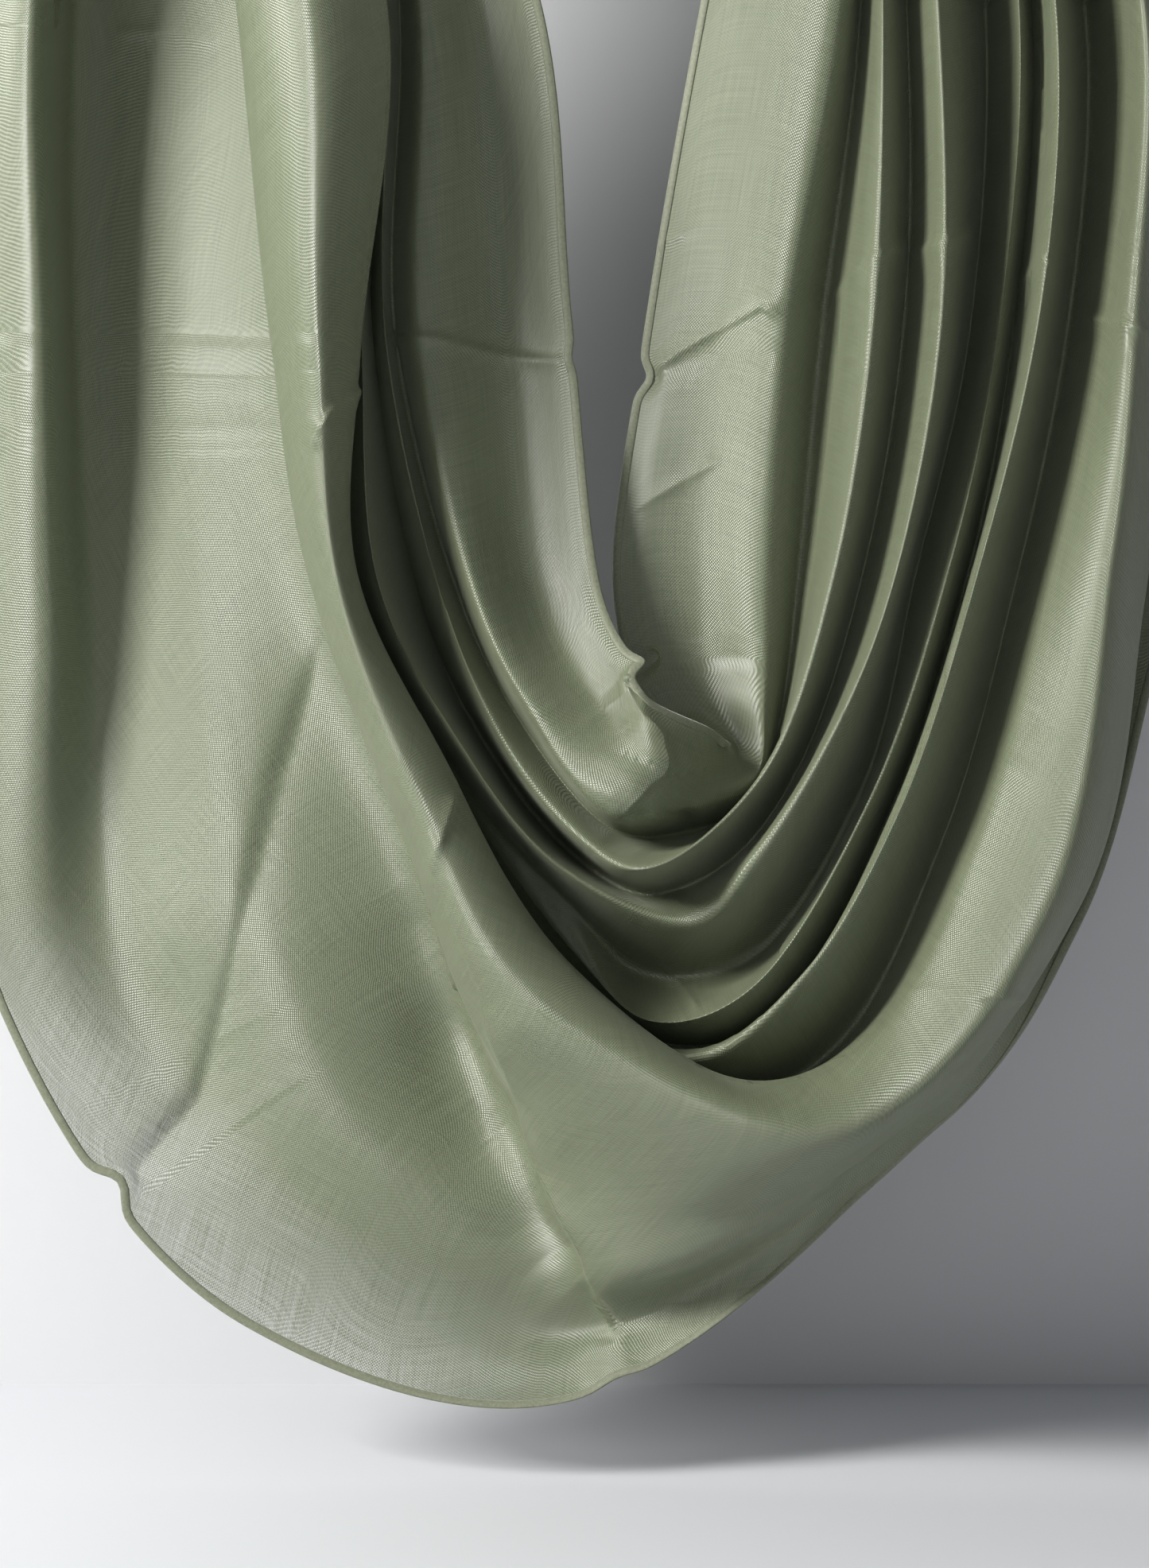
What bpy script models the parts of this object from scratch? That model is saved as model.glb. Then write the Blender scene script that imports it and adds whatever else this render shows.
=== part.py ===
"""Hijab headscarf: one long cloth with overlocked hems, gathered at two holds and hanging between them
in a deep swag.  Its pleats run down the left leg, round the swag and up the right leg.

The sheet is worked out from FOLDS: one row for each fold line that runs the length of the scarf, from
the inner edge at the neck opening to the outer hem below.  Sizes in the tables are millimetres.
"""

import bpy
import bmesh
from mathutils import Vector

MM = 0.001
COLLECTION = "hijab_headscarf"

WALL = 1.0                # thickness of the modelled cloth wall
HEM_WALL = 1.5            # the overlocked hem is thicker than the cloth
HEM_WIDTH = 5.0
SEAM_GAP = 0.5            # clearance between neighbouring stretches of cloth
HEM_GAP = 0.8             # clearance between the cloth and its hems

SEEN_FROM = 1200.0        # fold positions are those seen from this distance in front of the sheet
SEEN_X = 149.0            # across and up position of the point that is looked at
SEEN_Z = -540.0

HOLD_SPAN = 300.0         # between the middles of the two holds
HOLD_HALF_WIDTH = 54.0
HOLD_HALF_DEPTH = 18.0
END_RISE = 26.0           # cloth above each hold, up to its short end
END_SPREAD = 1.18         # the short end spreads this much wider than the hold

RIDGE = 0.9               # softness of a fold line: how far its roundness reaches across the cloth
SOFT = 1.0
CREASED = 0.4

# Each row: name, softness, mesh steps to the next line, side in the left and the right gather
# (-1 front, 1 back), then across, up and depth to the back at eleven stations:
# left leg top, high, middle and low, turn, base, turn, right leg low, middle, high and top.
FOLDS = (
    ("inner_edge", SOFT, 2, -1, -1,
     (135, 148, 160, 177, 183, 208, 212, 182, 166, 179, 204),
     (-200, -338, -452, -490, -504, -516, -521, -507, -452, -348, -200),
     (6, 4, 0, -8, -14, -4, 10, 26, 28, 26, 22)),
    ("inner_panel", SOFT, 2, 1, 1,
     (108, 119, 131, 160, 185, 210, 220, 206, 202, 212, 231),
     (-200, -338, -455, -507, -531, -534, -526, -500, -442, -338, -200),
     (14, 12, 4, -12, -28, 0, 22, 30, 26, 18, 10)),
    ("first_ridge", RIDGE, 3, -1, -1,
     (82, 82, 103, 128, 167, 206, 229, 231, 231, 240, 264),
     (-200, -345, -448, -505, -553, -549, -535, -502, -442, -338, -200),
     (4, 0, -14, -22, -28, -8, 13, 14, 12, 6, 2)),
    ("first_valley", SOFT, 3, 1, 1,
     (73, 72, 98, 127, 166, 197, 228, 239, 248, 257, 274),
     (-200, -348, -455, -515, -560, -561, -547, -512, -442, -345, -200),
     (24, 20, 6, 0, -8, 6, 20, 22, 22, 22, 22)),
    ("second_ridge", RIDGE, 4, -1, -1,
     (67, 68, 92, 121, 155, 176, 205, 236, 262, 278, 283),
     (-200, -352, -460, -526, -566, -577, -564, -528, -448, -345, -200),
     (8, 6, -6, -12, -24, -36, -34, -26, -22, -18, -10)),
    ("deep_gap", SOFT, 4, 1, 1,
     (62, 62.5, 84, 113, 150, 180, 219, 248, 275, 293, 294),
     (-200, -355, -466, -527, -572, -588, -572, -531, -448, -338, -200),
     (24, 26, 26, 22, 14, 2, 2, 4, 6, 10, 14)),
    ("third_ridge", RIDGE, 4, -1, -1,
     (57, 57, 64, 95, 143, 196, 228, 258, 287, 308, 307),
     (-200, -355, -452, -515, -576, -600, -572, -525, -455, -345, -200),
     (8, 4, -18, -22, -18, -14, -30, -32, -28, -26, -18)),
    ("third_valley", SOFT, 4, 1, 1,
     (52, 53, 60, 97, 147, 178, 231, 274, 299, 322, 329),
     (-200, -360, -462, -533, -592, -622, -612, -545, -448, -345, -200),
     (22, 18, 2, 6, 8, 20, 8, 8, 10, 20, 28)),
    ("sharp_crease", CREASED, 4, -1, -1,
     (48, 49, 57, 96, 151, 182, 231, 277, 313, 334, 342),
     (-200, -362, -464, -541, -616, -643, -624, -548, -442, -338, -200),
     (10, 14, 14, 16, 10, -8, -22, -20, -16, -8, -4)),
    ("crease_valley", SOFT, 4, 1, 1,
     (44, 45, 55, 92, 149, 188, 242, 287, 321, 341, 348),
     (-200, -362, -466, -546, -626, -653, -636, -552, -448, -338, -200),
     (26, 26, 26, 28, 22, 16, 6, 4, 4, 10, 14)),
    ("fourth_ridge", RIDGE, 4, 0.3, -1,
     (41, 40.5, 51, 88, 146, 198, 250, 290, 326, 352, 358),
     (-200, -360, -468, -550, -629, -659, -622, -552, -442, -330, -200),
     (14, 14, 14, 15, 7, -14, -30, -34, -32, -30, -24)),
    ("roll_tuck", SOFT, 4, -0.3, 1,
     (38, 37, 47, 82, 137, 208, 268, 310, 342, 366, 372),
     (-200, -358, -468, -554, -644, -676, -650, -566, -455, -335, -200),
     (0, 0, 2, 5, 14, 8, 2, 2, 2, 6, 16)),
    ("roll_brow", SOFT, 4, -0.7, 0,
     (67, 56, 55, 90, 146, 216, 282, 326, 356, 378, 384),
     (-200, -356, -450, -524, -617, -668, -648, -566, -455, -335, -200),
     (-20, -22, -24, -26, -34, -42, -36, -28, -22, -16, -6)),
    ("big_roll", SOFT, 4, -1, -1,
     (33, 38, 47, 79, 132, 228, 297, 357, 383, 392, 396),
     (-200, -348, -455, -540, -634, -688, -673, -590, -441, -338, -200),
     (-46, -46, -40, -44, -56, -64, -56, -50, -46, -42, -36)),
    ("roll_side", RIDGE, 3, 0, 0,
     (2, 18, 35, 77, 119, 192, 298, 367, 394, 406, 408),
     (-200, -348, -455, -568, -664, -728, -681, -592, -462, -338, -200),
     (-14, -18, -14, -14, -12, -28, -36, -22, -14, -6, 0)),
    ("outer_tuck", SOFT, 3, 1, 1,
     (18, 27, 40, 81, 114, 172, 299, 368, 395, 411, 416),
     (-200, -350, -462, -584, -674, -749, -685, -592, -462, -338, -200),
     (24, 22, 20, 18, 16, -14, -25, -4, 12, 18, 20)),
    ("outer_panel", SOFT, 3, -1, -1,
     (-34, -24, -14, 10, 70, 158, 300, 364, 390, 418, 428),
     (-200, -348, -469, -602, -707, -764, -687, -592, -465, -338, -200),
     (42, 36, 28, 14, 6, 6, -16, 10, 26, 32, 28)),
    ("outer_valley", SOFT, 3, 1, 1,
     (-66, -65, -57, -42, 48, 150, 301, 360, 389, 425, 440),
     (-200, -348, -469, -622, -731, -779, -689, -593, -470, -338, -200),
     (50, 46, 38, 26, 10, 12, -8, 20, 32, 36, 36)),
    ("outer_ridge", SOFT, 2, -1, -1,
     (-86, -83, -79, -72, 26, 146, 303, 363, 395, 434, 452),
     (-200, -348, -469, -632, -754, -794, -690, -597, -474, -338, -200),
     (4, 8, 14, 18, 8, 4, 0, 24, 30, 30, 24)),
    ("outer_hem_line", SOFT, 2, 1, 1,
     (-121, -129, -121, -99, 6, 144, 306, 368, 404, 446, 466),
     (-200, -348, -476, -640, -775, -808, -691, -603, -480, -338, -200),
     (30, 28, 22, 18, 4, -6, 8, 22, 24, 26, 22)),
)

FOLD_DEPTH = 1.2                                              # depths of the table times this
SEGMENTS_ALONG = (1, 5, 4, 4, 4, 5, 4, 4, 5, 4, 4, 4, 5, 1)   # mesh steps between two stations
LEFT_LEG_ENDS = 4                                             # stations where the stretches meet
RIGHT_LEG_STARTS = 10
MIDDLE_FOLD = 10                                              # the fold that is held
EDGE_STEPS = 40                                               # steps that measure in from an edge

CLOTH_COLOUR = (0.36, 0.385, 0.265, 1.0)
CLOTH_ROUGHNESS = 0.62
THREAD_COLOUR = (0.41, 0.44, 0.31, 1.0)
THREAD_ROUGHNESS = 0.7


def placed(across, up, depth):
    """The point at this depth that is seen at (across, up)."""
    spread = (SEEN_FROM + depth) / SEEN_FROM
    return Vector((SEEN_X + (across - SEEN_X) * spread, depth, SEEN_Z + (up - SEEN_Z) * spread))


def gather_point(middle, share, side, rise, spread):
    """A pleated gather: fold lines are evenly spaced and go to the front or the back."""
    across = middle + share * HOLD_HALF_WIDTH * spread
    return Vector((across, side * HOLD_HALF_DEPTH, rise))


def fold_line(number):
    """Control points of one fold line, from the left short end to the right short end."""
    left_side, right_side, across, up, depth = FOLDS[number][3:]
    share = 1.0 - 2.0 * number / (len(FOLDS) - 1)
    points = [gather_point(0.0, share, left_side, END_RISE, END_SPREAD)]
    points.append(gather_point(0.0, share, left_side, 0.0, 1.0))
    points.extend(placed(x, z, y * FOLD_DEPTH) for x, z, y in zip(across, up, depth))
    points.append(gather_point(HOLD_SPAN, -share, right_side, 0.0, 1.0))
    points.append(gather_point(HOLD_SPAN, -share, right_side, END_RISE, END_SPREAD))
    return points


def shared_knots(lines):
    """Knots along the scarf, from the mean distance between stations."""
    knots = [0.0]
    for station in range(len(lines[0]) - 1):
        steps = [(line[station + 1] - line[station]).length for line in lines]
        knots.append(knots[-1] + sum(steps) / len(steps))
    return knots


def slopes(points, knots, softness):
    """Slope at each knot of a smooth curve through the points; a crease has a smaller slope."""
    last = len(points) - 1
    result = []
    for index in range(last + 1):
        if index == 0:
            slope = (points[1] - points[0]) / (knots[1] - knots[0])
        elif index == last:
            slope = (points[last] - points[last - 1]) / (knots[last] - knots[last - 1])
        else:
            before = knots[index] - knots[index - 1]
            after = knots[index + 1] - knots[index]
            slope = ((points[index] - points[index - 1]) * (after / before)
                     + (points[index + 1] - points[index]) * (before / after)) / (before + after)
        result.append(slope * softness[index])
    return result


def between(points, knots, tangents, index, share):
    """Cubic between knot index and the next one."""
    step = knots[index + 1] - knots[index]
    a = share * share * (3.0 - 2.0 * share)
    b = share * (1.0 - share) * (1.0 - share)
    c = share * share * (share - 1.0)
    return (points[index] * (1.0 - a) + points[index + 1] * a
            + tangents[index] * (b * step) + tangents[index + 1] * (c * step))


def columns_along(lines):
    """Fold-line points at every mesh step along the scarf, and the steps where stations fall."""
    knots = shared_knots(lines)
    even = [1.0] * len(knots)
    tangents = [slopes(line, knots, even) for line in lines]
    columns = []
    station_columns = []
    for station, count in enumerate(SEGMENTS_ALONG):
        station_columns.append(len(columns))
        for step in range(count):
            share = step / count
            columns.append([between(line, knots, tangent, station, share)
                            for line, tangent in zip(lines, tangents)])
    station_columns.append(len(columns))
    columns.append([line[-1] for line in lines])
    return columns, station_columns


def across_curve(column):
    """Knots and slopes of the pleated section through one column of fold-line points."""
    knots = [0.0]
    for first, second in zip(column, column[1:]):
        knots.append(knots[-1] + (second - first).length ** 0.5)
    softness = [fold[1] for fold in FOLDS]
    return knots, slopes(column, knots, softness)


def edge_share(column, curve, fold, reverse, distance):
    """Share of the first or last fold that lies this far in from the edge of the cloth."""
    knots, tangents = curve
    travelled = 0.0
    last = column[-1] if reverse else column[0]
    for step in range(1, EDGE_STEPS + 1):
        share = 1.0 - step / EDGE_STEPS if reverse else step / EDGE_STEPS
        point = between(column, knots, tangents, fold, share)
        travelled += (point - last).length
        last = point
        if travelled >= distance:
            return share
    return share


def section(column, inset):
    """Mesh points across the cloth, starting and ending this far in from its edges."""
    curve = across_curve(column)
    knots, tangents = curve
    last_fold = len(column) - 2
    start = edge_share(column, curve, 0, False, inset)
    finish = edge_share(column, curve, last_fold, True, inset)
    points = []
    for fold in range(last_fold + 1):
        low = start if fold == 0 else 0.0
        high = finish if fold == last_fold else 1.0
        steps = FOLDS[fold][2]
        for step in range(steps):
            share = low + (high - low) * step / steps
            points.append(between(column, knots, tangents, fold, share))
    points.append(between(column, knots, tangents, last_fold, finish))
    return points


def hem_pair(row, reverse):
    """The two sides of the hem strip that carries on straight from one edge of a cloth row."""
    edge, inward = (row[-1], row[-2]) if reverse else (row[0], row[1])
    outward = (edge - inward).normalized()
    return [edge + outward * (HEM_GAP + HEM_WIDTH), edge + outward * HEM_GAP]


def held_point(column):
    """The point in the middle of the cloth where a gather is held."""
    knots, tangents = across_curve(column)
    return between(column, knots, tangents, MIDDLE_FOLD, 0.5)


def pulled_back(first, second, distance):
    """Move the first row of points towards the second by a distance."""
    return [a + (b - a).normalized() * distance for a, b in zip(first, second)]


def shell(name, rows, wall, colour, roughness):
    """One closed body: an open sheet of quads given its thickness by Solidify."""
    mesh = bpy.data.meshes.new(name)
    form = bmesh.new()
    grid = [[form.verts.new(point * MM) for point in row] for row in rows]
    for row, following in zip(grid, grid[1:]):
        for index in range(len(row) - 1):
            form.faces.new((row[index], following[index], following[index + 1], row[index + 1]))
    bmesh.ops.recalc_face_normals(form, faces=form.faces)
    form.to_mesh(mesh)
    form.free()
    piece = bpy.data.objects.new(name, mesh)
    bpy.data.collections[COLLECTION].objects.link(piece)
    thickness = piece.modifiers.new("cloth_thickness", "SOLIDIFY")
    thickness.thickness = wall * MM
    thickness.offset = 0.0
    material = bpy.data.materials.new(name)
    material.use_nodes = True
    shader = material.node_tree.nodes["Principled BSDF"]
    shader.inputs["Base Color"].default_value = colour
    shader.inputs["Roughness"].default_value = roughness
    mesh.materials.append(material)
    return piece


def build():
    for old in list(bpy.data.objects):
        bpy.data.objects.remove(old, do_unlink=True)
    group = bpy.data.collections.new(COLLECTION)
    bpy.context.scene.collection.children.link(group)

    lines = [fold_line(number) for number in range(len(FOLDS))]
    columns, station_columns = columns_along(lines)
    origin = held_point(columns[station_columns[1]])
    columns = [[point - origin for point in column] for column in columns]
    inset = HEM_WIDTH + HEM_GAP
    cloth = [section(column, inset) for column in columns]
    side_hems = {"hem_inner": [hem_pair(row, False) for row in cloth],
                 "hem_outer": [hem_pair(row, True) for row in cloth]}
    # The short ends give up a strip to the end hems.
    cloth[0] = pulled_back(cloth[0], cloth[1], inset)
    cloth[-1] = pulled_back(cloth[-1], cloth[-2], inset)

    left_end = station_columns[LEFT_LEG_ENDS]
    right_start = station_columns[RIGHT_LEG_STARTS]
    left_leg = cloth[:left_end + 1]
    swag = cloth[left_end:right_start + 1]
    right_leg = cloth[right_start:]
    swag[0] = pulled_back(swag[0], swag[1], SEAM_GAP)
    swag[-1] = pulled_back(swag[-1], swag[-2], SEAM_GAP)
    shell("cloth_left_leg", left_leg, WALL, CLOTH_COLOUR, CLOTH_ROUGHNESS)
    shell("cloth_swag", swag, WALL, CLOTH_COLOUR, CLOTH_ROUGHNESS)
    shell("cloth_right_leg", right_leg, WALL, CLOTH_COLOUR, CLOTH_ROUGHNESS)

    for name, strip in side_hems.items():
        shell(name, strip, HEM_WALL, THREAD_COLOUR, THREAD_ROUGHNESS)
    for name, outside, inside in (("hem_left_end", 0, 1), ("hem_right_end", -1, -2)):
        edge = section(columns[outside], inset)
        below = section(columns[inside], inset)
        rows = [edge, pulled_back(edge, below, HEM_WIDTH)]
        shell(name, rows, HEM_WALL, THREAD_COLOUR, THREAD_ROUGHNESS)


build()
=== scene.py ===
import math

import bpy
import bmesh
import numpy as np
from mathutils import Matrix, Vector


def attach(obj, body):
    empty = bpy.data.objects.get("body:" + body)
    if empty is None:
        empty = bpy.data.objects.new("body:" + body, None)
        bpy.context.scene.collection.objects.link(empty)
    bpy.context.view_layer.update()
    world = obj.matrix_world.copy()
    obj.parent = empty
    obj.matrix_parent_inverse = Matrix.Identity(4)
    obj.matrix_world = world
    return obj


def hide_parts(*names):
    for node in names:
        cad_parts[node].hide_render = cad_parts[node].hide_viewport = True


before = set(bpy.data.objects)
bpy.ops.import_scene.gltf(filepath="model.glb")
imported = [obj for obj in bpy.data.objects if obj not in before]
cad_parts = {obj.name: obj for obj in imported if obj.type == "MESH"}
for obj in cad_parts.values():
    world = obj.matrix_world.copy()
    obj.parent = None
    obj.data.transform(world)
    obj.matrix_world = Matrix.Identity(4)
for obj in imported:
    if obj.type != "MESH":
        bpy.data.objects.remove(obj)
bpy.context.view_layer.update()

mm = 0.001

# fold lines from the neck opening out to the hem, in mm: softness, side in the left and right gather
# (-1 front), then across, up and depth at eleven places, down the left leg, round the swag and up again
foldLines = {
    "innerEdge": (1.0, -1, -1,
        (135, 148, 160, 177, 183, 208, 212, 182, 166, 179, 204),
        (-200, -338, -452, -490, -504, -516, -521, -507, -452, -348, -200),
        (6, 4, 0, -8, -14, -4, 10, 26, 28, 26, 22)),
    "innerPanel": (1.0, 1, 1,
        (108, 119, 131, 160, 185, 210, 220, 206, 202, 212, 231),
        (-200, -338, -455, -507, -531, -534, -526, -500, -442, -338, -200),
        (14, 12, 4, -12, -28, 0, 22, 30, 26, 18, 10)),
    "firstRidge": (0.9, -1, -1,
        (82, 82, 103, 128, 167, 206, 229, 231, 231, 240, 264),
        (-200, -345, -448, -505, -553, -549, -535, -502, -442, -338, -200),
        (4, 0, -14, -22, -28, -8, 13, 14, 12, 6, 2)),
    "firstValley": (1.0, 1, 1,
        (73, 72, 98, 127, 166, 197, 228, 239, 248, 257, 274),
        (-200, -348, -455, -515, -560, -561, -547, -512, -442, -345, -200),
        (24, 20, 6, 0, -8, 6, 20, 22, 22, 22, 22)),
    "secondRidge": (0.9, -1, -1,
        (67, 68, 92, 121, 155, 176, 205, 236, 262, 278, 283),
        (-200, -352, -460, -526, -566, -577, -564, -528, -448, -345, -200),
        (8, 6, -6, -12, -24, -36, -34, -26, -22, -18, -10)),
    "deepGap": (1.0, 1, 1,
        (62, 62.5, 84, 113, 150, 180, 219, 248, 275, 293, 294),
        (-200, -355, -466, -527, -572, -588, -572, -531, -448, -338, -200),
        (24, 26, 26, 22, 14, 2, 2, 4, 6, 10, 14)),
    "thirdRidge": (0.9, -1, -1,
        (57, 57, 64, 95, 143, 196, 228, 258, 287, 308, 307),
        (-200, -355, -452, -515, -576, -600, -572, -525, -455, -345, -200),
        (8, 4, -18, -22, -18, -14, -30, -32, -28, -26, -18)),
    "thirdValley": (1.0, 1, 1,
        (52, 53, 60, 97, 147, 178, 231, 274, 299, 322, 329),
        (-200, -360, -462, -533, -592, -622, -612, -545, -448, -345, -200),
        (22, 18, 2, 6, 8, 20, 8, 8, 10, 20, 28)),
    "sharpCrease": (0.4, -1, -1,
        (48, 49, 57, 96, 151, 182, 231, 277, 313, 334, 342),
        (-200, -362, -464, -541, -616, -643, -624, -548, -442, -338, -200),
        (10, 14, 14, 16, 10, -8, -22, -20, -16, -8, -4)),
    "creaseValley": (1.0, 1, 1,
        (44, 45, 55, 92, 149, 188, 242, 287, 321, 341, 348),
        (-200, -362, -466, -546, -626, -653, -636, -552, -448, -338, -200),
        (26, 26, 26, 28, 22, 16, 6, 4, 4, 10, 14)),
    "fourthRidge": (0.9, 0.3, -1,
        (41, 40.5, 51, 88, 146, 198, 250, 290, 326, 352, 358),
        (-200, -360, -468, -550, -629, -659, -622, -552, -442, -330, -200),
        (14, 14, 14, 15, 7, -14, -30, -34, -32, -30, -24)),
    "rollTuck": (1.0, -0.3, 1,
        (38, 37, 47, 82, 137, 208, 268, 310, 342, 366, 372),
        (-200, -358, -468, -554, -644, -676, -650, -566, -455, -335, -200),
        (0, 0, 2, 5, 14, 8, 2, 2, 2, 6, 16)),
    "rollBrow": (1.0, -0.7, 0,
        (67, 56, 55, 90, 146, 216, 282, 326, 356, 378, 384),
        (-200, -356, -450, -524, -617, -668, -648, -566, -455, -335, -200),
        (-20, -22, -24, -26, -34, -42, -36, -28, -22, -16, -6)),
    "bigRoll": (1.0, -1, -1,
        (33, 38, 47, 79, 132, 228, 297, 357, 383, 392, 396),
        (-200, -348, -455, -540, -634, -688, -673, -590, -441, -338, -200),
        (-46, -46, -40, -44, -56, -64, -56, -50, -46, -42, -36)),
    "rollSide": (0.9, 0, 0,
        (2, 18, 35, 77, 119, 192, 298, 367, 394, 406, 408),
        (-200, -348, -455, -568, -664, -728, -681, -592, -462, -338, -200),
        (-14, -18, -14, -14, -12, -28, -36, -22, -14, -6, 0)),
    "outerTuck": (1.0, 1, 1,
        (18, 27, 40, 81, 114, 172, 299, 368, 395, 411, 416),
        (-200, -350, -462, -584, -674, -749, -685, -592, -462, -338, -200),
        (24, 22, 20, 18, 16, -14, -25, -4, 12, 18, 20)),
    "outerPanel": (1.0, -1, -1,
        (-34, -24, -14, 10, 70, 158, 300, 364, 390, 418, 428),
        (-200, -348, -469, -602, -707, -764, -687, -592, -465, -338, -200),
        (42, 36, 28, 14, 6, 6, -16, 10, 26, 32, 28)),
    "outerValley": (1.0, 1, 1,
        (-66, -65, -57, -42, 48, 150, 301, 360, 389, 425, 440),
        (-200, -348, -469, -622, -731, -779, -689, -593, -470, -338, -200),
        (50, 46, 38, 26, 10, 12, -8, 20, 32, 36, 36)),
    "outerRidge": (1.0, -1, -1,
        (-86, -83, -79, -72, 26, 146, 303, 363, 395, 434, 452),
        (-200, -348, -469, -632, -754, -794, -690, -597, -474, -338, -200),
        (4, 8, 14, 18, 8, 4, 0, 24, 30, 30, 24)),
    "outerHem": (1.0, 1, 1,
        (-121, -129, -121, -99, 6, 144, 306, 368, 404, 446, 466),
        (-200, -348, -476, -640, -775, -808, -691, -603, -480, -338, -200),
        (30, 28, 22, 18, 4, -6, 8, 22, 24, 26, 22)),
}

drape = {
    "foldDepth": 1.2,
    "seenFrom": 1200.0,
    "seenMiddle": (149.0, -540.0),
    "holdSpan": 300.0,
    "holdHalfWidth": 54.0,
    "holdHalfDepth": 18.0,
    "endRise": 26.0,
    "endSpread": 1.18,
    "heldFold": 10,
    "stepsAcross": 18,                  # quads between two fold lines
    "stepsAlong": (4, 50, 90, 66, 44, 50, 54, 54, 48, 42, 66, 90, 50, 4),
    "legEnds": 4,                       # the stretches meet at these two places
    "legStarts": 10,
}


def placed(across, up, depth):          # the point seen at across, up
    spread = (drape["seenFrom"] + depth) / drape["seenFrom"]
    middleX, middleZ = drape["seenMiddle"]
    return (middleX + (across - middleX) * spread, depth, middleZ + (up - middleZ) * spread)


def slopesOf(points, knots, softness):  # first axis runs along the curve
    gaps = np.diff(knots, axis=0)
    steps = np.diff(points, axis=0) / gaps
    slopes = np.empty_like(points)
    slopes[0] = steps[0]
    slopes[-1] = steps[-1]
    before, after = gaps[:-1], gaps[1:]
    slopes[1:-1] = (steps[:-1] * after + steps[1:] * before) / (before + after)
    return slopes * softness


def cubic(first, second, slopeA, slopeB, gap, share):
    a = share * share * (3 - 2 * share)
    b = share * (1 - share) ** 2
    c = share * share * (share - 1)
    return first * (1 - a) + second * a + (slopeA * b + slopeB * c) * gap


rows = []
lineCount = len(foldLines)
for number, (softness, leftSide, rightSide, across, up, depth) in enumerate(foldLines.values()):
    share = 1 - 2 * number / (lineCount - 1)
    reach = share * drape["holdHalfWidth"]
    deep = drape["holdHalfDepth"]
    span, rise, wide = drape["holdSpan"], drape["endRise"], drape["endSpread"]
    row = [(reach * wide, leftSide * deep, rise), (reach, leftSide * deep, 0)]
    row += [placed(x, z, y * drape["foldDepth"]) for x, z, y in zip(across, up, depth)]
    row += [(span - reach, rightSide * deep, 0), (span - reach * wide, rightSide * deep, rise)]
    rows.append(row)
control = np.array(rows, dtype=float)   # fold line, place, xyz
lineSoftness = np.array([line[0] for line in foldLines.values()])

placeGaps = np.linalg.norm(np.diff(control, axis=1), axis=2).mean(axis=0)
alongKnots = np.concatenate(([0.0], np.cumsum(placeGaps)))
places = control.transpose(1, 0, 2)     # place, fold line, xyz
placeSlopes = slopesOf(places, alongKnots[:, None, None], 1.0)
columns = []
placeColumns = []
for place, count in enumerate(drape["stepsAlong"]):
    gap = alongKnots[place + 1] - alongKnots[place]
    placeColumns.append(len(columns))
    for step in range(count):
        columns.append(cubic(places[place], places[place + 1], placeSlopes[place], placeSlopes[place + 1],
                             gap, step / count))
columns.append(places[-1])

lines = np.array(columns).transpose(1, 0, 2)    # fold line, column, xyz
acrossGaps = np.sqrt(np.linalg.norm(np.diff(lines, axis=0), axis=2))
acrossKnots = np.concatenate((np.zeros((1, acrossGaps.shape[1])), np.cumsum(acrossGaps, axis=0)))[:, :, None]
acrossSlopes = slopesOf(lines, acrossKnots, lineSoftness[:, None, None])
sheetRows = []
for line in range(lineCount - 1):
    gap = acrossKnots[line + 1] - acrossKnots[line]
    for step in range(drape["stepsAcross"]):
        sheetRows.append(cubic(lines[line], lines[line + 1], acrossSlopes[line], acrossSlopes[line + 1],
                               gap, step / drape["stepsAcross"]))
sheetRows.append(lines[-1])
cloth = np.array(sheetRows)             # across, along, xyz
heldRow = int((drape["heldFold"] + 0.5) * drape["stepsAcross"])
origin = cloth[heldRow, placeColumns[1]].copy()
cloth -= origin
acrossCount, alongCount = cloth.shape[:2]
print("cloth form", acrossCount, "x", alongCount)


def seenAt(points):                     # where each point is seen, across and up
    spread = (drape["seenFrom"] + points[..., 1] + origin[1]) / drape["seenFrom"]
    middleX, middleZ = drape["seenMiddle"]
    across = middleX + (points[..., 0] + origin[0] - middleX) / spread
    up = middleZ + (points[..., 2] + origin[2] - middleZ) / spread
    return across, up


def normalsOf(points):
    normal = np.cross(np.gradient(points, axis=0), np.gradient(points, axis=1))
    return normal / np.maximum(np.linalg.norm(normal, axis=2, keepdims=True), 1e-9)


def distanceTo(across, up, line):       # distance, share along the line, and which side of it
    best = np.full(across.shape, 1e9)
    where = np.zeros(across.shape)
    side = np.zeros(across.shape)
    lengths = [math.dist(a, b) for a, b in zip(line, line[1:])]
    done = 0.0
    for (ax, az), (bx, bz), length in zip(line, line[1:], lengths):
        dx, dz = bx - ax, bz - az
        t = np.clip(((across - ax) * dx + (up - az) * dz) / (length * length), 0, 1)
        far = np.hypot(across - ax - t * dx, up - az - t * dz)
        closer = far < best
        best = np.where(closer, far, best)
        where = np.where(closer, (done + t * length) / sum(lengths), where)
        side = np.where(closer, dx * (up - az) - dz * (across - ax), side)
        done += length
    return best, where, side


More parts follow.
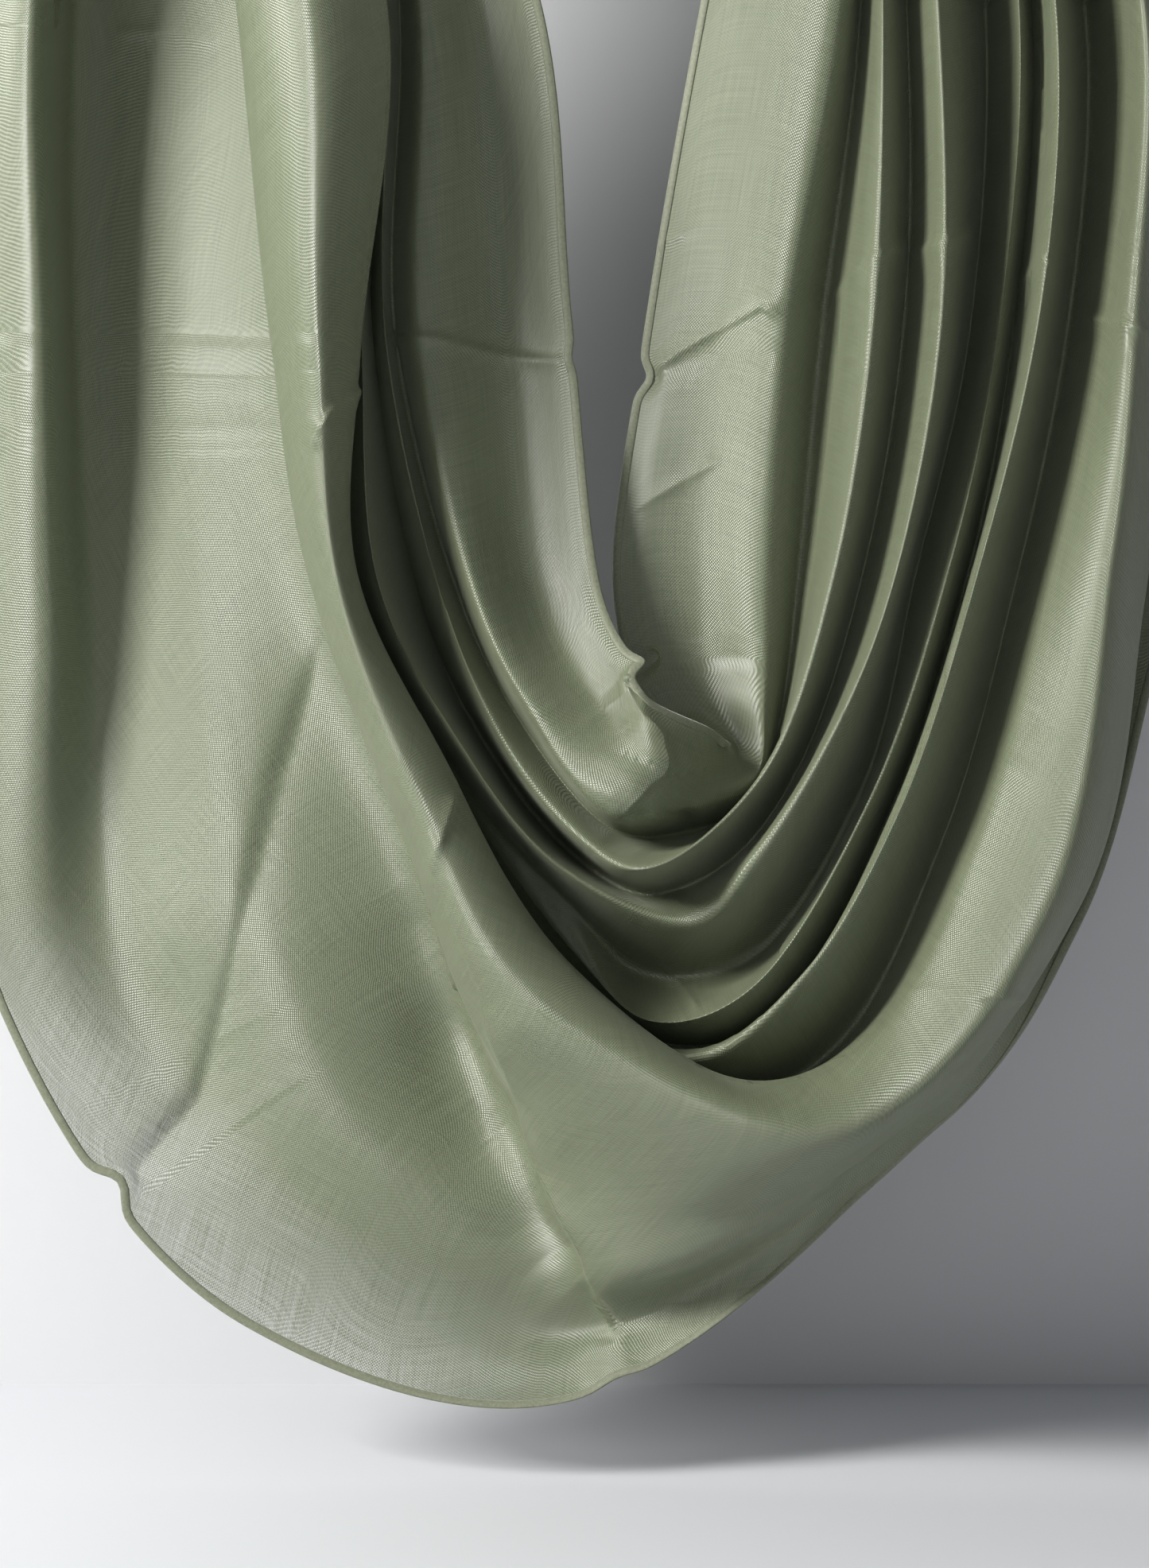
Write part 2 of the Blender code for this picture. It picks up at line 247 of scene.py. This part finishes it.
# creases as they are seen, in mm: rise towards the viewer at the start and the end, how wide they fall
# away on the left and the right of the way they run, and the fold lines that they lie between
creases = [
    {"name": "collar fold", "rise": (3, 5), "widths": (2.0, 13), "between": (0, 2.6),
     "line": [(170, -495), (174, -500), (180, -512), (186, -520), (188, -532), (186, -536), (180, -541),
              (174, -547), (168, -555)]},
    {"name": "pouch rim", "rise": (-2.5, -2.5), "widths": (5, 2.5), "between": (0, 3),
     "line": [(166, -556), (178, -555), (190, -553), (204, -555)]},
    {"name": "long fold of the outer panel", "rise": (-2.6, -3.4), "widths": (15, 3), "between": (14.6, 19),
     "line": [(41, -473), (19, -542), (0, -619), (-15, -676), (-28, -690), (-52, -716)]},
    {"name": "storage crease inside", "rise": (1.6, 1.8), "widths": (4, 1.4), "between": (0, 3.4),
     "line": [(150, -355), (131, -355), (115, -353), (102, -350), (90, -347), (75, -345), (60, -348)]},
    {"name": "storage crease on the brow", "rise": (2.2, 1.6), "widths": (5, 1.6), "between": (11.6, 15),
     "line": [(61, -367), (50, -372), (42, -380), (37, -388), (35, -395)]},
    {"name": "storage crease on the roll", "rise": (2.4, 1.6), "widths": (1.6, 5), "between": (11.6, 15),
     "line": [(97, -546), (94, -555), (91, -566), (89, -576), (90, -588)]},
    {"name": "lower side of the roll", "rise": (5, 4), "widths": (22, 2.2), "between": (13, 19),
     "line": [(110, -635), (121, -662), (128, -683), (138, -714), (154, -752), (167, -773), (170, -792)]},
    {"name": "hollow beside the roll", "rise": (-3, -8), "widths": (9, 20), "between": (14.2, 19), "soft": True,
     "line": [(74, -584), (83, -614), (104, -673), (132, -731), (152, -757)]},
    {"name": "storage crease right 1", "rise": (1.4, 2.2), "widths": (4, 1.4), "between": (0, 3),
     "line": [(178, -364), (204, -348), (231, -333), (240, -338)]},
    {"name": "storage crease right 2", "rise": (1.2, 1.8), "widths": (1.6, 8), "between": (3, 5.4),
     "line": [(258, -334), (273, -315), (293, -304)]},
    {"name": "storage crease right 3", "rise": (1.4, 1.8), "widths": (1.6, 8), "between": (5, 7.4),
     "line": [(293, -311), (308, -305), (322, -299)]},
    {"name": "storage crease right 4", "rise": (1.0, 1.2), "widths": (2, 6), "between": (9, 12),
     "line": [(338, -328), (354, -310)]},
    {"name": "storage crease right 5", "rise": (1.6, 2.0), "widths": (1.6, 4), "between": (11.6, 16),
     "line": [(365, -337), (387, -340), (402, -346)]},
    {"name": "storage crease low right", "rise": (1.6, 1.4), "widths": (6, 2), "between": (12, 15),
     "line": [(239, -640), (253, -633), (266, -627), (307, -631), (348, -634)]},
    {"name": "wrinkle 1", "rise": (1.0, 0.8), "widths": (4, 2), "between": (0, 3),
     "line": [(185, -307), (205, -298)]},
    {"name": "wrinkle 2", "rise": (1.2, 1.0), "widths": (5, 2), "between": (0, 3),
     "line": [(176, -421), (212, -400)]},
    {"name": "hidden crease", "rise": (1.6, 1.4), "widths": (3, 2), "between": (5.6, 9),
     "line": [(187, -615), (203, -638)]},
    {"name": "short crease", "rise": (2.0, 1.0), "widths": (2, 2), "between": (5, 7),
     "line": [(192, -580), (193, -592)]},
    {"name": "flare above the hem", "rise": (-2.0, -3.6), "widths": (8, 9), "between": (15, 19), "soft": True,
     "line": [(166, -786), (193, -773), (224, -755), (259, -728), (290, -697), (311, -673)]},
    {"name": "high crease on the panel", "rise": (1.2, 0.8), "widths": (3, 2), "between": (15.4, 19),
     "line": [(-49, -214), (-29, -214), (-8, -219)]},
    {"name": "high crease at the left hold", "rise": (1.6, 2.2), "widths": (4, 2), "between": (0, 19),
     "line": [(-70, -92), (-20, -84), (40, -88), (75, -80)]},
    {"name": "high crease at the right hold", "rise": (2.0, 1.5), "widths": (2, 4), "between": (0, 19),
     "line": [(235, -96), (290, -86), (345, -90), (385, -82)]},
]
creaseFade = {"sides": 0.4, "ends": 9, "slow": (0.22, 11), "quick": (0.12, 27)}
lineAt = np.repeat(np.arange(acrossCount)[:, None] / drape["stepsAcross"], alongCount, axis=1)
across, up = seenAt(cloth)
normal = normalsOf(cloth)
towards = np.where(normal[..., 1:2] < 0, 1.0, -1.0)
lift = np.zeros((acrossCount, alongCount))
for crease in creases:
    far, where, side = distanceTo(across, up, crease["line"])
    wide = np.where(side > 0, *crease["widths"])
    fall = np.exp(-(far / wide) ** 2) if crease.get("soft") else np.exp(-far / wide)
    low, high = crease["between"]
    inside = np.clip(np.minimum(lineAt - low, high - lineAt) / creaseFade["sides"] + 0.5, 0, 1)
    start, finish = crease["rise"]
    slow, quick = creaseFade["slow"], creaseFade["quick"]
    uneven = 1 + slow[0] * np.sin(where * slow[1] + start * 3) + quick[0] * np.sin(where * quick[1] + finish)
    taper = np.clip(np.minimum(where, 1 - where) * creaseFade["ends"] + 0.2, 0, 1)
    lift += (start + (finish - start) * where) * fall * inside * uneven * taper

# valleys pressed straight back, deeper than the fold lines alone give: fold line, how wide, and how deep
# in mm at the left leg's top and middle, the base, and the right leg's middle and top
deeper = {
    "firstValley": (0.34, (0, 3, 4, 6, 5)),
    "deepGap": (0.36, (0, 8, 7, 7, 5)),
    "thirdValley": (0.42, (0, 0, 8, 14, 10)),
    "creaseValley": (0.34, (0, 0, 5, 5, 4)),
    "rollTuck": (0.44, (0, 0, 8, 14, 8)),
}
deepAt = [placeColumns[k] for k in (2, 4, 7, 10, 12)]
for name, (wide, depths) in deeper.items():
    number = list(foldLines).index(name)
    amount = np.interp(np.arange(alongCount), deepAt, depths, left=0, right=0)
    cloth[..., 1] += amount[None, :] * np.exp(-((lineAt - number) / wide) ** 2)

# the left leg's inner edge turns back
edgeTurn = {"places": (1, 2, 3, 4, 5), "back": (0, 8, 12, 8, 0), "foldLines": 1.6}
turnAt = [placeColumns[k] for k in edgeTurn["places"]]
turnBack = np.interp(np.arange(alongCount), turnAt, edgeTurn["back"], left=0, right=0)
cloth[..., 1] += turnBack[None, :] * np.clip(1 - lineAt / edgeTurn["foldLines"], 0, 1)

# slack in the cloth between the folds: long low waves, no two alike
slack = {
    "seed": 4,
    "waves": 22,
    "rise": 0.16,
    "width": 850,
    "lengthwise": (0.006, 0.022),
    "crosswise": (0.02, 0.075),
}
rng = np.random.default_rng(slack["seed"])
waveAcross = lineAt / lineCount * slack["width"]
columnGaps = np.linalg.norm(np.diff(cloth, axis=1), axis=2).mean(axis=0)
waveAlong = np.concatenate(([0], np.cumsum(columnGaps)))[None, :]
for _ in range(slack["waves"]):
    lengthwise = rng.uniform(*slack["lengthwise"])
    crosswise = rng.uniform(*slack["crosswise"]) * rng.choice((-1, 1))
    lift += slack["rise"] * np.sin(waveAlong * lengthwise + waveAcross * crosswise + rng.uniform(0, 6.3))
cloth = cloth + normal * towards * lift[..., None]

# small pulls at the edges: where they are seen, which way they move, how far they reach
pulls = [
    {"name": "tip of the inner edge", "at": (179, -487),
     "move": (6, -3, 2), "reach": 5, "between": (-1, 1)},
    {"name": "curl below the tip", "at": (176, -494),
     "move": (-5, -4, 0), "reach": 4, "between": (-1, 1)},
    {"name": "hem notch left", "at": (-52, -716),
     "move": (7, 0, 6), "reach": 9, "between": (17, 20)},
    {"name": "hem notch low", "at": (164, -793),
     "move": (0, 2, 6), "reach": 9, "between": (17, 20)},
    {"name": "notch of the right inner edge", "at": (179, -364),
     "move": (5, 0, 0), "reach": 6, "between": (-1, 1.5)},
    {"name": "notch of the left inner edge", "at": (150, -355),
     "move": (-1.5, 0, 0), "reach": 5, "between": (-1, 1.5)},
]
across, up = seenAt(cloth)
for pull in pulls:
    far = np.hypot(across - pull["at"][0], up - pull["at"][1])
    low, high = pull["between"]
    inside = np.clip(np.minimum(lineAt - low, high - lineAt) + 0.5, 0, 1)
    cloth = cloth + (np.exp(-(far / pull["reach"]) ** 2) * inside)[..., None] * np.array(pull["move"])

acrossSteps = np.linalg.norm(np.diff(cloth, axis=0), axis=2)
alongSteps = np.linalg.norm(np.diff(cloth, axis=1), axis=2)
acrossLength = np.concatenate((np.zeros((1, alongCount)), np.cumsum(acrossSteps, axis=0)))
alongLength = np.concatenate((np.zeros((acrossCount, 1)), np.cumsum(alongSteps, axis=1)), axis=1)
baseColumn = placeColumns[7]
alongLength = alongLength - alongLength[:, baseColumn:baseColumn + 1]
clothNormals = normalsOf(cloth)
print("creases and pulls placed")


def newNode(tree, kind, where, **values):
    made = tree.nodes.new(kind)
    made.location = where
    for key, value in values.items():
        setattr(made, key, value)
    return made


def sums(tree, how, first, second, where):
    made = newNode(tree, "ShaderNodeMath", where, operation=how)
    for index, value in enumerate((first, second)):
        if isinstance(value, (int, float)):
            made.inputs[index].default_value = value
        elif value is not None:
            tree.links.new(value, made.inputs[index])
    return made.outputs[0]


weaveLook = {"pitch": 0.0014, "wobble": 5.0, "wobbleScale": 60, "streaks": ((26, 1500, -250), (1500, 26, -500))}


def plainWeave():                       # threads on the cloth's own metres
    tree = bpy.data.node_groups.new("plainWeave", "ShaderNodeTree")
    tree.interface.new_socket("Vector", in_out="INPUT", socket_type="NodeSocketVector")
    tree.interface.new_socket("Height", in_out="OUTPUT", socket_type="NodeSocketFloat")
    tree.interface.new_socket("Threads", in_out="OUTPUT", socket_type="NodeSocketFloat")
    entry = newNode(tree, "NodeGroupInput", (-900, 0))
    leave = newNode(tree, "NodeGroupOutput", (700, 0))
    split = newNode(tree, "ShaderNodeSeparateXYZ", (-700, 0))
    tree.links.new(entry.outputs["Vector"], split.inputs[0])
    wobble = newNode(tree, "ShaderNodeTexNoise", (-700, -250))
    wobble.inputs["Scale"].default_value = weaveLook["wobbleScale"]
    tree.links.new(entry.outputs["Vector"], wobble.inputs["Vector"])
    shift = sums(tree, "MULTIPLY", wobble.outputs[0], weaveLook["wobble"], (-520, -250))
    waves = []
    for index, height in ((0, 150), (1, 0)):
        turns = sums(tree, "MULTIPLY", split.outputs[index], 2 * math.pi / weaveLook["pitch"], (-520, height))
        moved = sums(tree, "ADD", turns, shift, (-340, height))
        waves.append(sums(tree, "SINE", moved, None, (-160, height)))
    over = sums(tree, "MULTIPLY", waves[0], waves[1], (140, 80))
    tree.links.new(over, leave.inputs["Height"])
    threads = []
    for scaleU, scaleV, height in weaveLook["streaks"]:
        scaled = newNode(tree, "ShaderNodeMapping", (-300, height))
        scaled.inputs["Scale"].default_value = (scaleU, scaleV, 1)
        tree.links.new(entry.outputs["Vector"], scaled.inputs["Vector"])
        slub = newNode(tree, "ShaderNodeTexNoise", (-100, height))
        slub.inputs["Scale"].default_value = 1.0
        tree.links.new(scaled.outputs[0], slub.inputs["Vector"])
        threads.append(slub.outputs[0])
    both = sums(tree, "ADD", threads[0], threads[1], (160, -350))
    centred = sums(tree, "SUBTRACT", both, 1.0, (340, -350))
    tree.links.new(centred, leave.inputs["Threads"])
    return tree


clothLook = {
    "light": (0.196, 0.222, 0.140, 1),
    "dark": (0.070, 0.084, 0.046, 1),
    "roughness": 0.36,
    "sheen": 0.14,
    "bump": 0.4,
    "sheer": 0.34,
    "specular": 0.8,
    "sheenRoughness": 0.35,
    "sheenTint": (0.86, 0.9, 0.74, 1),
    "slubs": 0.7,
    "middle": 0.6,
    "crossings": 0.22,
    "threadDepth": 0.0003,
    "streakiness": 2.0,
}


def clothMaterial(weave):
    material = bpy.data.materials.new("sageCloth")
    material.use_nodes = True
    tree = material.node_tree
    shader = tree.nodes["Principled BSDF"]
    shader.location = (700, 0)
    shader.inputs["Roughness"].default_value = clothLook["roughness"]
    shader.inputs["Sheen Weight"].default_value = clothLook["sheen"]
    shader.inputs["Sheen Roughness"].default_value = clothLook["sheenRoughness"]
    shader.inputs["Sheen Tint"].default_value = clothLook["sheenTint"]
    shader.inputs["Specular IOR Level"].default_value = clothLook["specular"]
    uv = newNode(tree, "ShaderNodeUVMap", (-700, 0), uv_map="clothMetres")
    threads = newNode(tree, "ShaderNodeGroup", (-450, 0))
    threads.node_tree = weave
    tree.links.new(uv.outputs[0], threads.inputs["Vector"])
    slubs = sums(tree, "MULTIPLY", threads.outputs["Threads"], clothLook["slubs"], (-200, 150))
    slubs = sums(tree, "ADD", slubs, clothLook["middle"], (-40, 150))
    crossings = sums(tree, "MULTIPLY", threads.outputs["Height"], clothLook["crossings"], (-200, 20))
    amount = sums(tree, "ADD", slubs, crossings, (110, 150))
    mix = newNode(tree, "ShaderNodeMix", (300, 150), data_type="RGBA")
    mix.inputs["A"].default_value = clothLook["dark"]
    mix.inputs["B"].default_value = clothLook["light"]
    tree.links.new(amount, mix.inputs["Factor"])
    tree.links.new(mix.outputs["Result"], shader.inputs["Base Color"])
    bump = newNode(tree, "ShaderNodeBump", (300, -150))
    bump.inputs["Strength"].default_value = clothLook["bump"]
    bump.inputs["Distance"].default_value = clothLook["threadDepth"]
    tree.links.new(threads.outputs["Height"], bump.inputs["Height"])
    tree.links.new(bump.outputs[0], shader.inputs["Normal"])
    sheer = newNode(tree, "ShaderNodeAttribute", (-400, -350), attribute_name="sheer")
    streaky = sums(tree, "MULTIPLY", threads.outputs["Threads"], clothLook["streakiness"], (-400, -500))
    streaky = sums(tree, "ADD", streaky, 1.0, (-240, -500))
    thin = sums(tree, "MULTIPLY", sheer.outputs["Fac"], streaky, (-200, -350))
    cover = sums(tree, "MULTIPLY", thin, -clothLook["sheer"], (0, -350))
    cover = sums(tree, "ADD", cover, 1.0, (160, -350))
    tree.links.new(cover, shader.inputs["Alpha"])
    return material


hemLook = {
    "light": (0.23, 0.25, 0.17, 1),
    "dark": (0.09, 0.10, 0.06, 1),
    "roughness": 0.6,
    "sheen": 0.3,
    "noiseScale": 900,
}


def hemMaterial():
    material = bpy.data.materials.new("hemThread")
    material.use_nodes = True
    tree = material.node_tree
    shader = tree.nodes["Principled BSDF"]
    shader.location = (500, 0)
    shader.inputs["Roughness"].default_value = hemLook["roughness"]
    shader.inputs["Sheen Weight"].default_value = hemLook["sheen"]
    place = newNode(tree, "ShaderNodeTexCoord", (-450, 0))
    noise = newNode(tree, "ShaderNodeTexNoise", (-200, 0))
    noise.inputs["Scale"].default_value = hemLook["noiseScale"]
    tree.links.new(place.outputs["Object"], noise.inputs["Vector"])
    mix = newNode(tree, "ShaderNodeMix", (100, 0), data_type="RGBA")
    mix.inputs["A"].default_value = hemLook["dark"]
    mix.inputs["B"].default_value = hemLook["light"]
    tree.links.new(noise.outputs[0], mix.inputs["Factor"])
    tree.links.new(mix.outputs["Result"], shader.inputs["Base Color"])
    return material


sage = clothMaterial(plainWeave())
thread = hemMaterial()


def gridPiece(name, points, material):  # points: first axis, second axis, xyz in mm
    first, second = points.shape[:2]
    mesh = bpy.data.meshes.new(name)
    form = bmesh.new()
    bmesh.ops.create_grid(form, x_segments=first - 1, y_segments=second - 1, size=1)
    form.to_mesh(mesh)
    form.free()
    flat = np.empty(len(mesh.vertices) * 3)
    mesh.vertices.foreach_get("co", flat)
    flat = flat.reshape(-1, 3)
    i = np.rint((flat[:, 0] + 1) / 2 * (first - 1)).astype(int)
    j = np.rint((flat[:, 1] + 1) / 2 * (second - 1)).astype(int)
    mesh.vertices.foreach_set("co", (points[i, j] * mm).ravel())
    mesh.polygons.foreach_set("use_smooth", [True] * len(mesh.polygons))
    mesh.materials.append(material)
    mesh.update()
    piece = bpy.data.objects.new(name, mesh)
    bpy.context.scene.collection.objects.link(piece)
    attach(piece, "root")
    return piece, i, j


# one layer lets the wall show through near the outer hem, most of all at the lower left
sheerPart = {"fromHem": 62, "fall": 0.8, "leftOf": 175, "fadeAcross": 130, "below": -590, "fadeUp": 70}
fromHem = acrossLength[-1:] - acrossLength
across, up = seenAt(cloth)
nearHem = np.clip(1 - fromHem / sheerPart["fromHem"], 0, 1) ** sheerPart["fall"]
leftPart = np.clip((sheerPart["leftOf"] - across) / sheerPart["fadeAcross"], 0, 1)
leftPart *= np.clip((sheerPart["below"] - up) / sheerPart["fadeUp"], 0, 1)
sheerness = nearHem * leftPart

# the cut of each stretch: the outer hem is the long side, the inner one is gathered up short
legEnd, legStart = placeColumns[drape["legEnds"]], placeColumns[drape["legStarts"]]
stretches = {
    "leftLegCloth": {"node": "cloth_left_leg", "columns": (0, legEnd), "cut": (0.70, 0.55), "area": 0.36},
    "swagCloth": {"node": "cloth_swag", "columns": (legEnd, legStart), "cut": (0.70, 0.70), "area": 0.36},
    "rightLegCloth": {"node": "cloth_right_leg", "columns": (legStart, alongCount - 1), "cut": (0.70, 0.55),
                      "area": 0.36},
}
for name, stretch in stretches.items():
    low, high = stretch["columns"]
    part = slice(low, high + 1)
    piece, i, j = gridPiece(name, cloth[:, part], sage)
    mesh = piece.data
    vertexNormals = clothNormals[:, part][i, j]
    if (vertexNormals * np.array([v.normal for v in mesh.vertices])).sum() < 0:
        vertexNormals = -vertexNormals
    loopVerts = np.empty(len(mesh.loops), dtype=int)
    mesh.loops.foreach_get("vertex_index", loopVerts)
    uvs = np.stack((alongLength[:, part][i, j], acrossLength[:, part][i, j]), axis=1) * mm
    mesh.uv_layers.new(name="clothMetres").data.foreach_set("uv", uvs[loopVerts].ravel())
    mesh.normals_split_custom_set_from_vertices(vertexNormals.tolist())     # no seam where stretches meet
    mesh.attributes.new("sheer", "FLOAT", "POINT").data.foreach_set("value", sheerness[:, part][i, j])
    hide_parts(stretch["node"])
    stretch["piece"] = piece
    sides = [round(float(alongSteps[k, low:high].sum() * mm), 3) for k in (0, -1)]
    print(name, len(mesh.polygons), "quads, sides", sides, "m,", round(sum(f.area for f in mesh.polygons), 3), "m2")

hem = {"width": 4.0, "thick": 0.7, "past": 0.3, "round": 8, "stitchPitch": 1.4, "perStitch": 2, "between": 0.6}


def hemBand(name, edge, inside, node):
    inward = inside - edge
    inward /= np.linalg.norm(inward, axis=1, keepdims=True)
    way = np.gradient(edge, axis=0)
    way /= np.linalg.norm(way, axis=1, keepdims=True)
    inward -= way * (inward * way).sum(axis=1, keepdims=True)
    inward /= np.linalg.norm(inward, axis=1, keepdims=True)
    upright = np.cross(way, inward)
    steps = np.linalg.norm(np.diff(edge, axis=0), axis=1)
    where = np.concatenate(([0], np.cumsum(steps)))
    at = np.linspace(0, where[-1], int(where[-1] / hem["stitchPitch"] * hem["perStitch"]) + 1)
    edge, inward, upright = [np.stack([np.interp(at, where, values[:, k]) for k in range(3)], axis=1)
                             for values in (edge, inward, upright)]
    stitch = np.where(np.arange(len(edge)) % hem["perStitch"] == 0, 1.0, hem["between"])    # threads stand proud
    rings = []
    for k in range(hem["round"] + 1):
        angle = 2 * math.pi * k / hem["round"]
        reach = (0.5 + 0.5 * math.cos(angle)) * hem["width"] - hem["past"]
        lift = math.sin(angle) * hem["thick"]
        rings.append(edge + inward * reach + upright * (lift * stitch)[:, None])
    band, _, _ = gridPiece(name, np.array(rings), thread)
    form = bmesh.new()
    form.from_mesh(band.data)
    bmesh.ops.remove_doubles(form, verts=form.verts, dist=0.00001)
    bmesh.ops.recalc_face_normals(form, faces=form.faces)
    form.to_mesh(band.data)
    form.free()
    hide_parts(node)
    return band


bands = [
    hemBand("innerHemStitches", cloth[0], cloth[3], "hem_inner"),
    hemBand("outerHemStitches", cloth[-1], cloth[-4], "hem_outer"),
    hemBand("leftEndStitches", cloth[:, 0], cloth[:, 1], "hem_left_end"),
    hemBand("rightEndStitches", cloth[:, -1], cloth[:, -2], "hem_right_end"),
]
print("hems", sum(len(band.data.polygons) for band in bands), "quads")

studio = {
    "tableUp": -844.0,
    "wallBack": 200.0,
    "halfWidth": 1.9,
    "wallTop": 1.3,
    "tableHalf": 4,
    "roughness": 0.7,
    "specular": 0.2,
    "wall": (0.60, 0.605, 0.62, 1),
    "table": (0.62, 0.635, 0.66, 1),
    "air": (0.93, 0.96, 1.0, 1),
    "airStrength": 0.15,
}


def plainPanel(name, corners, colour, oneSided):
    mesh = bpy.data.meshes.new(name)
    form = bmesh.new()
    bmesh.ops.create_grid(form, x_segments=1, y_segments=1, size=1)
    for vert in form.verts:
        vert.co = corners[(vert.co.x > 0, vert.co.y > 0)]
    form.to_mesh(mesh)
    form.free()
    panel = bpy.data.objects.new(name, mesh)
    bpy.context.scene.collection.objects.link(panel)
    material = bpy.data.materials.new(name)
    material.use_nodes = True
    tree = material.node_tree
    shader = tree.nodes["Principled BSDF"]
    shader.inputs["Base Color"].default_value = colour
    shader.inputs["Roughness"].default_value = studio["roughness"]
    shader.inputs["Specular IOR Level"].default_value = studio["specular"]
    if oneSided:                        # clear when it is looked at from behind
        side = newNode(tree, "ShaderNodeNewGeometry", (-400, -200))
        cover = sums(tree, "SUBTRACT", 1.0, side.outputs["Backfacing"], (-200, -200))
        tree.links.new(cover, shader.inputs["Alpha"])
    panel.data.materials.append(material)
    return panel


tableZ, wallY = studio["tableUp"] * mm, studio["wallBack"] * mm
half, broad, high = studio["halfWidth"], studio["tableHalf"], studio["wallTop"]
table = plainPanel("paleTable", {(False, False): (-broad, -broad, tableZ), (True, False): (broad, -broad, tableZ),
                                 (False, True): (-broad, broad, tableZ), (True, True): (broad, broad, tableZ)},
                   studio["table"], False)
wall = plainPanel("paleWall", {(False, False): (-half, wallY, tableZ), (True, False): (half, wallY, tableZ),
                               (False, True): (-half, wallY, high), (True, True): (half, wallY, high)},
                  studio["wall"], True)

photoView = {"middle": (0.1548, 0.0, -0.5402), "away": 1.2, "lens": 63.5, "sensor": 36}
target = Vector(photoView["middle"])
lamps = {
    "keyLamp": {"at": (-1.50, -1.16, 0.52), "size": 0.7, "power": 86, "colour": (1.0, 0.985, 0.96)},
    "fillLamp": {"at": (0.6, -2.4, 0.3), "size": 1.4, "power": 6, "colour": (0.97, 0.98, 1.0)},
    "backLamp": {"at": (0.3, 2.0, 0.8), "size": 1.6, "power": 12, "colour": (1.0, 1.0, 1.0)},
}
for name, lamp in lamps.items():
    light = bpy.data.lights.new(name, "AREA")
    light.energy = lamp["power"]
    light.size = lamp["size"]
    light.color = lamp["colour"]
    holder = bpy.data.objects.new(name, light)
    holder.location = lamp["at"]
    holder.rotation_euler = (target - holder.location).to_track_quat("-Z", "Y").to_euler()
    bpy.context.scene.collection.objects.link(holder)

world = bpy.data.worlds.new("studioAir")
world.use_nodes = True
world.node_tree.nodes["Background"].inputs["Color"].default_value = studio["air"]
world.node_tree.nodes["Background"].inputs["Strength"].default_value = studio["airStrength"]
bpy.context.scene.world = world
bpy.context.scene.view_settings.view_transform = "Standard"

lens = bpy.data.cameras.new("photoCamera")
lens.lens = photoView["lens"]
lens.sensor_width = photoView["sensor"]
camera = bpy.data.objects.new("photoCamera", lens)
camera.location = (target.x, -photoView["away"], target.z)
camera.rotation_euler = (math.radians(90), 0, 0)
bpy.context.scene.collection.objects.link(camera)
bpy.context.scene.camera = camera
print("studio ready")
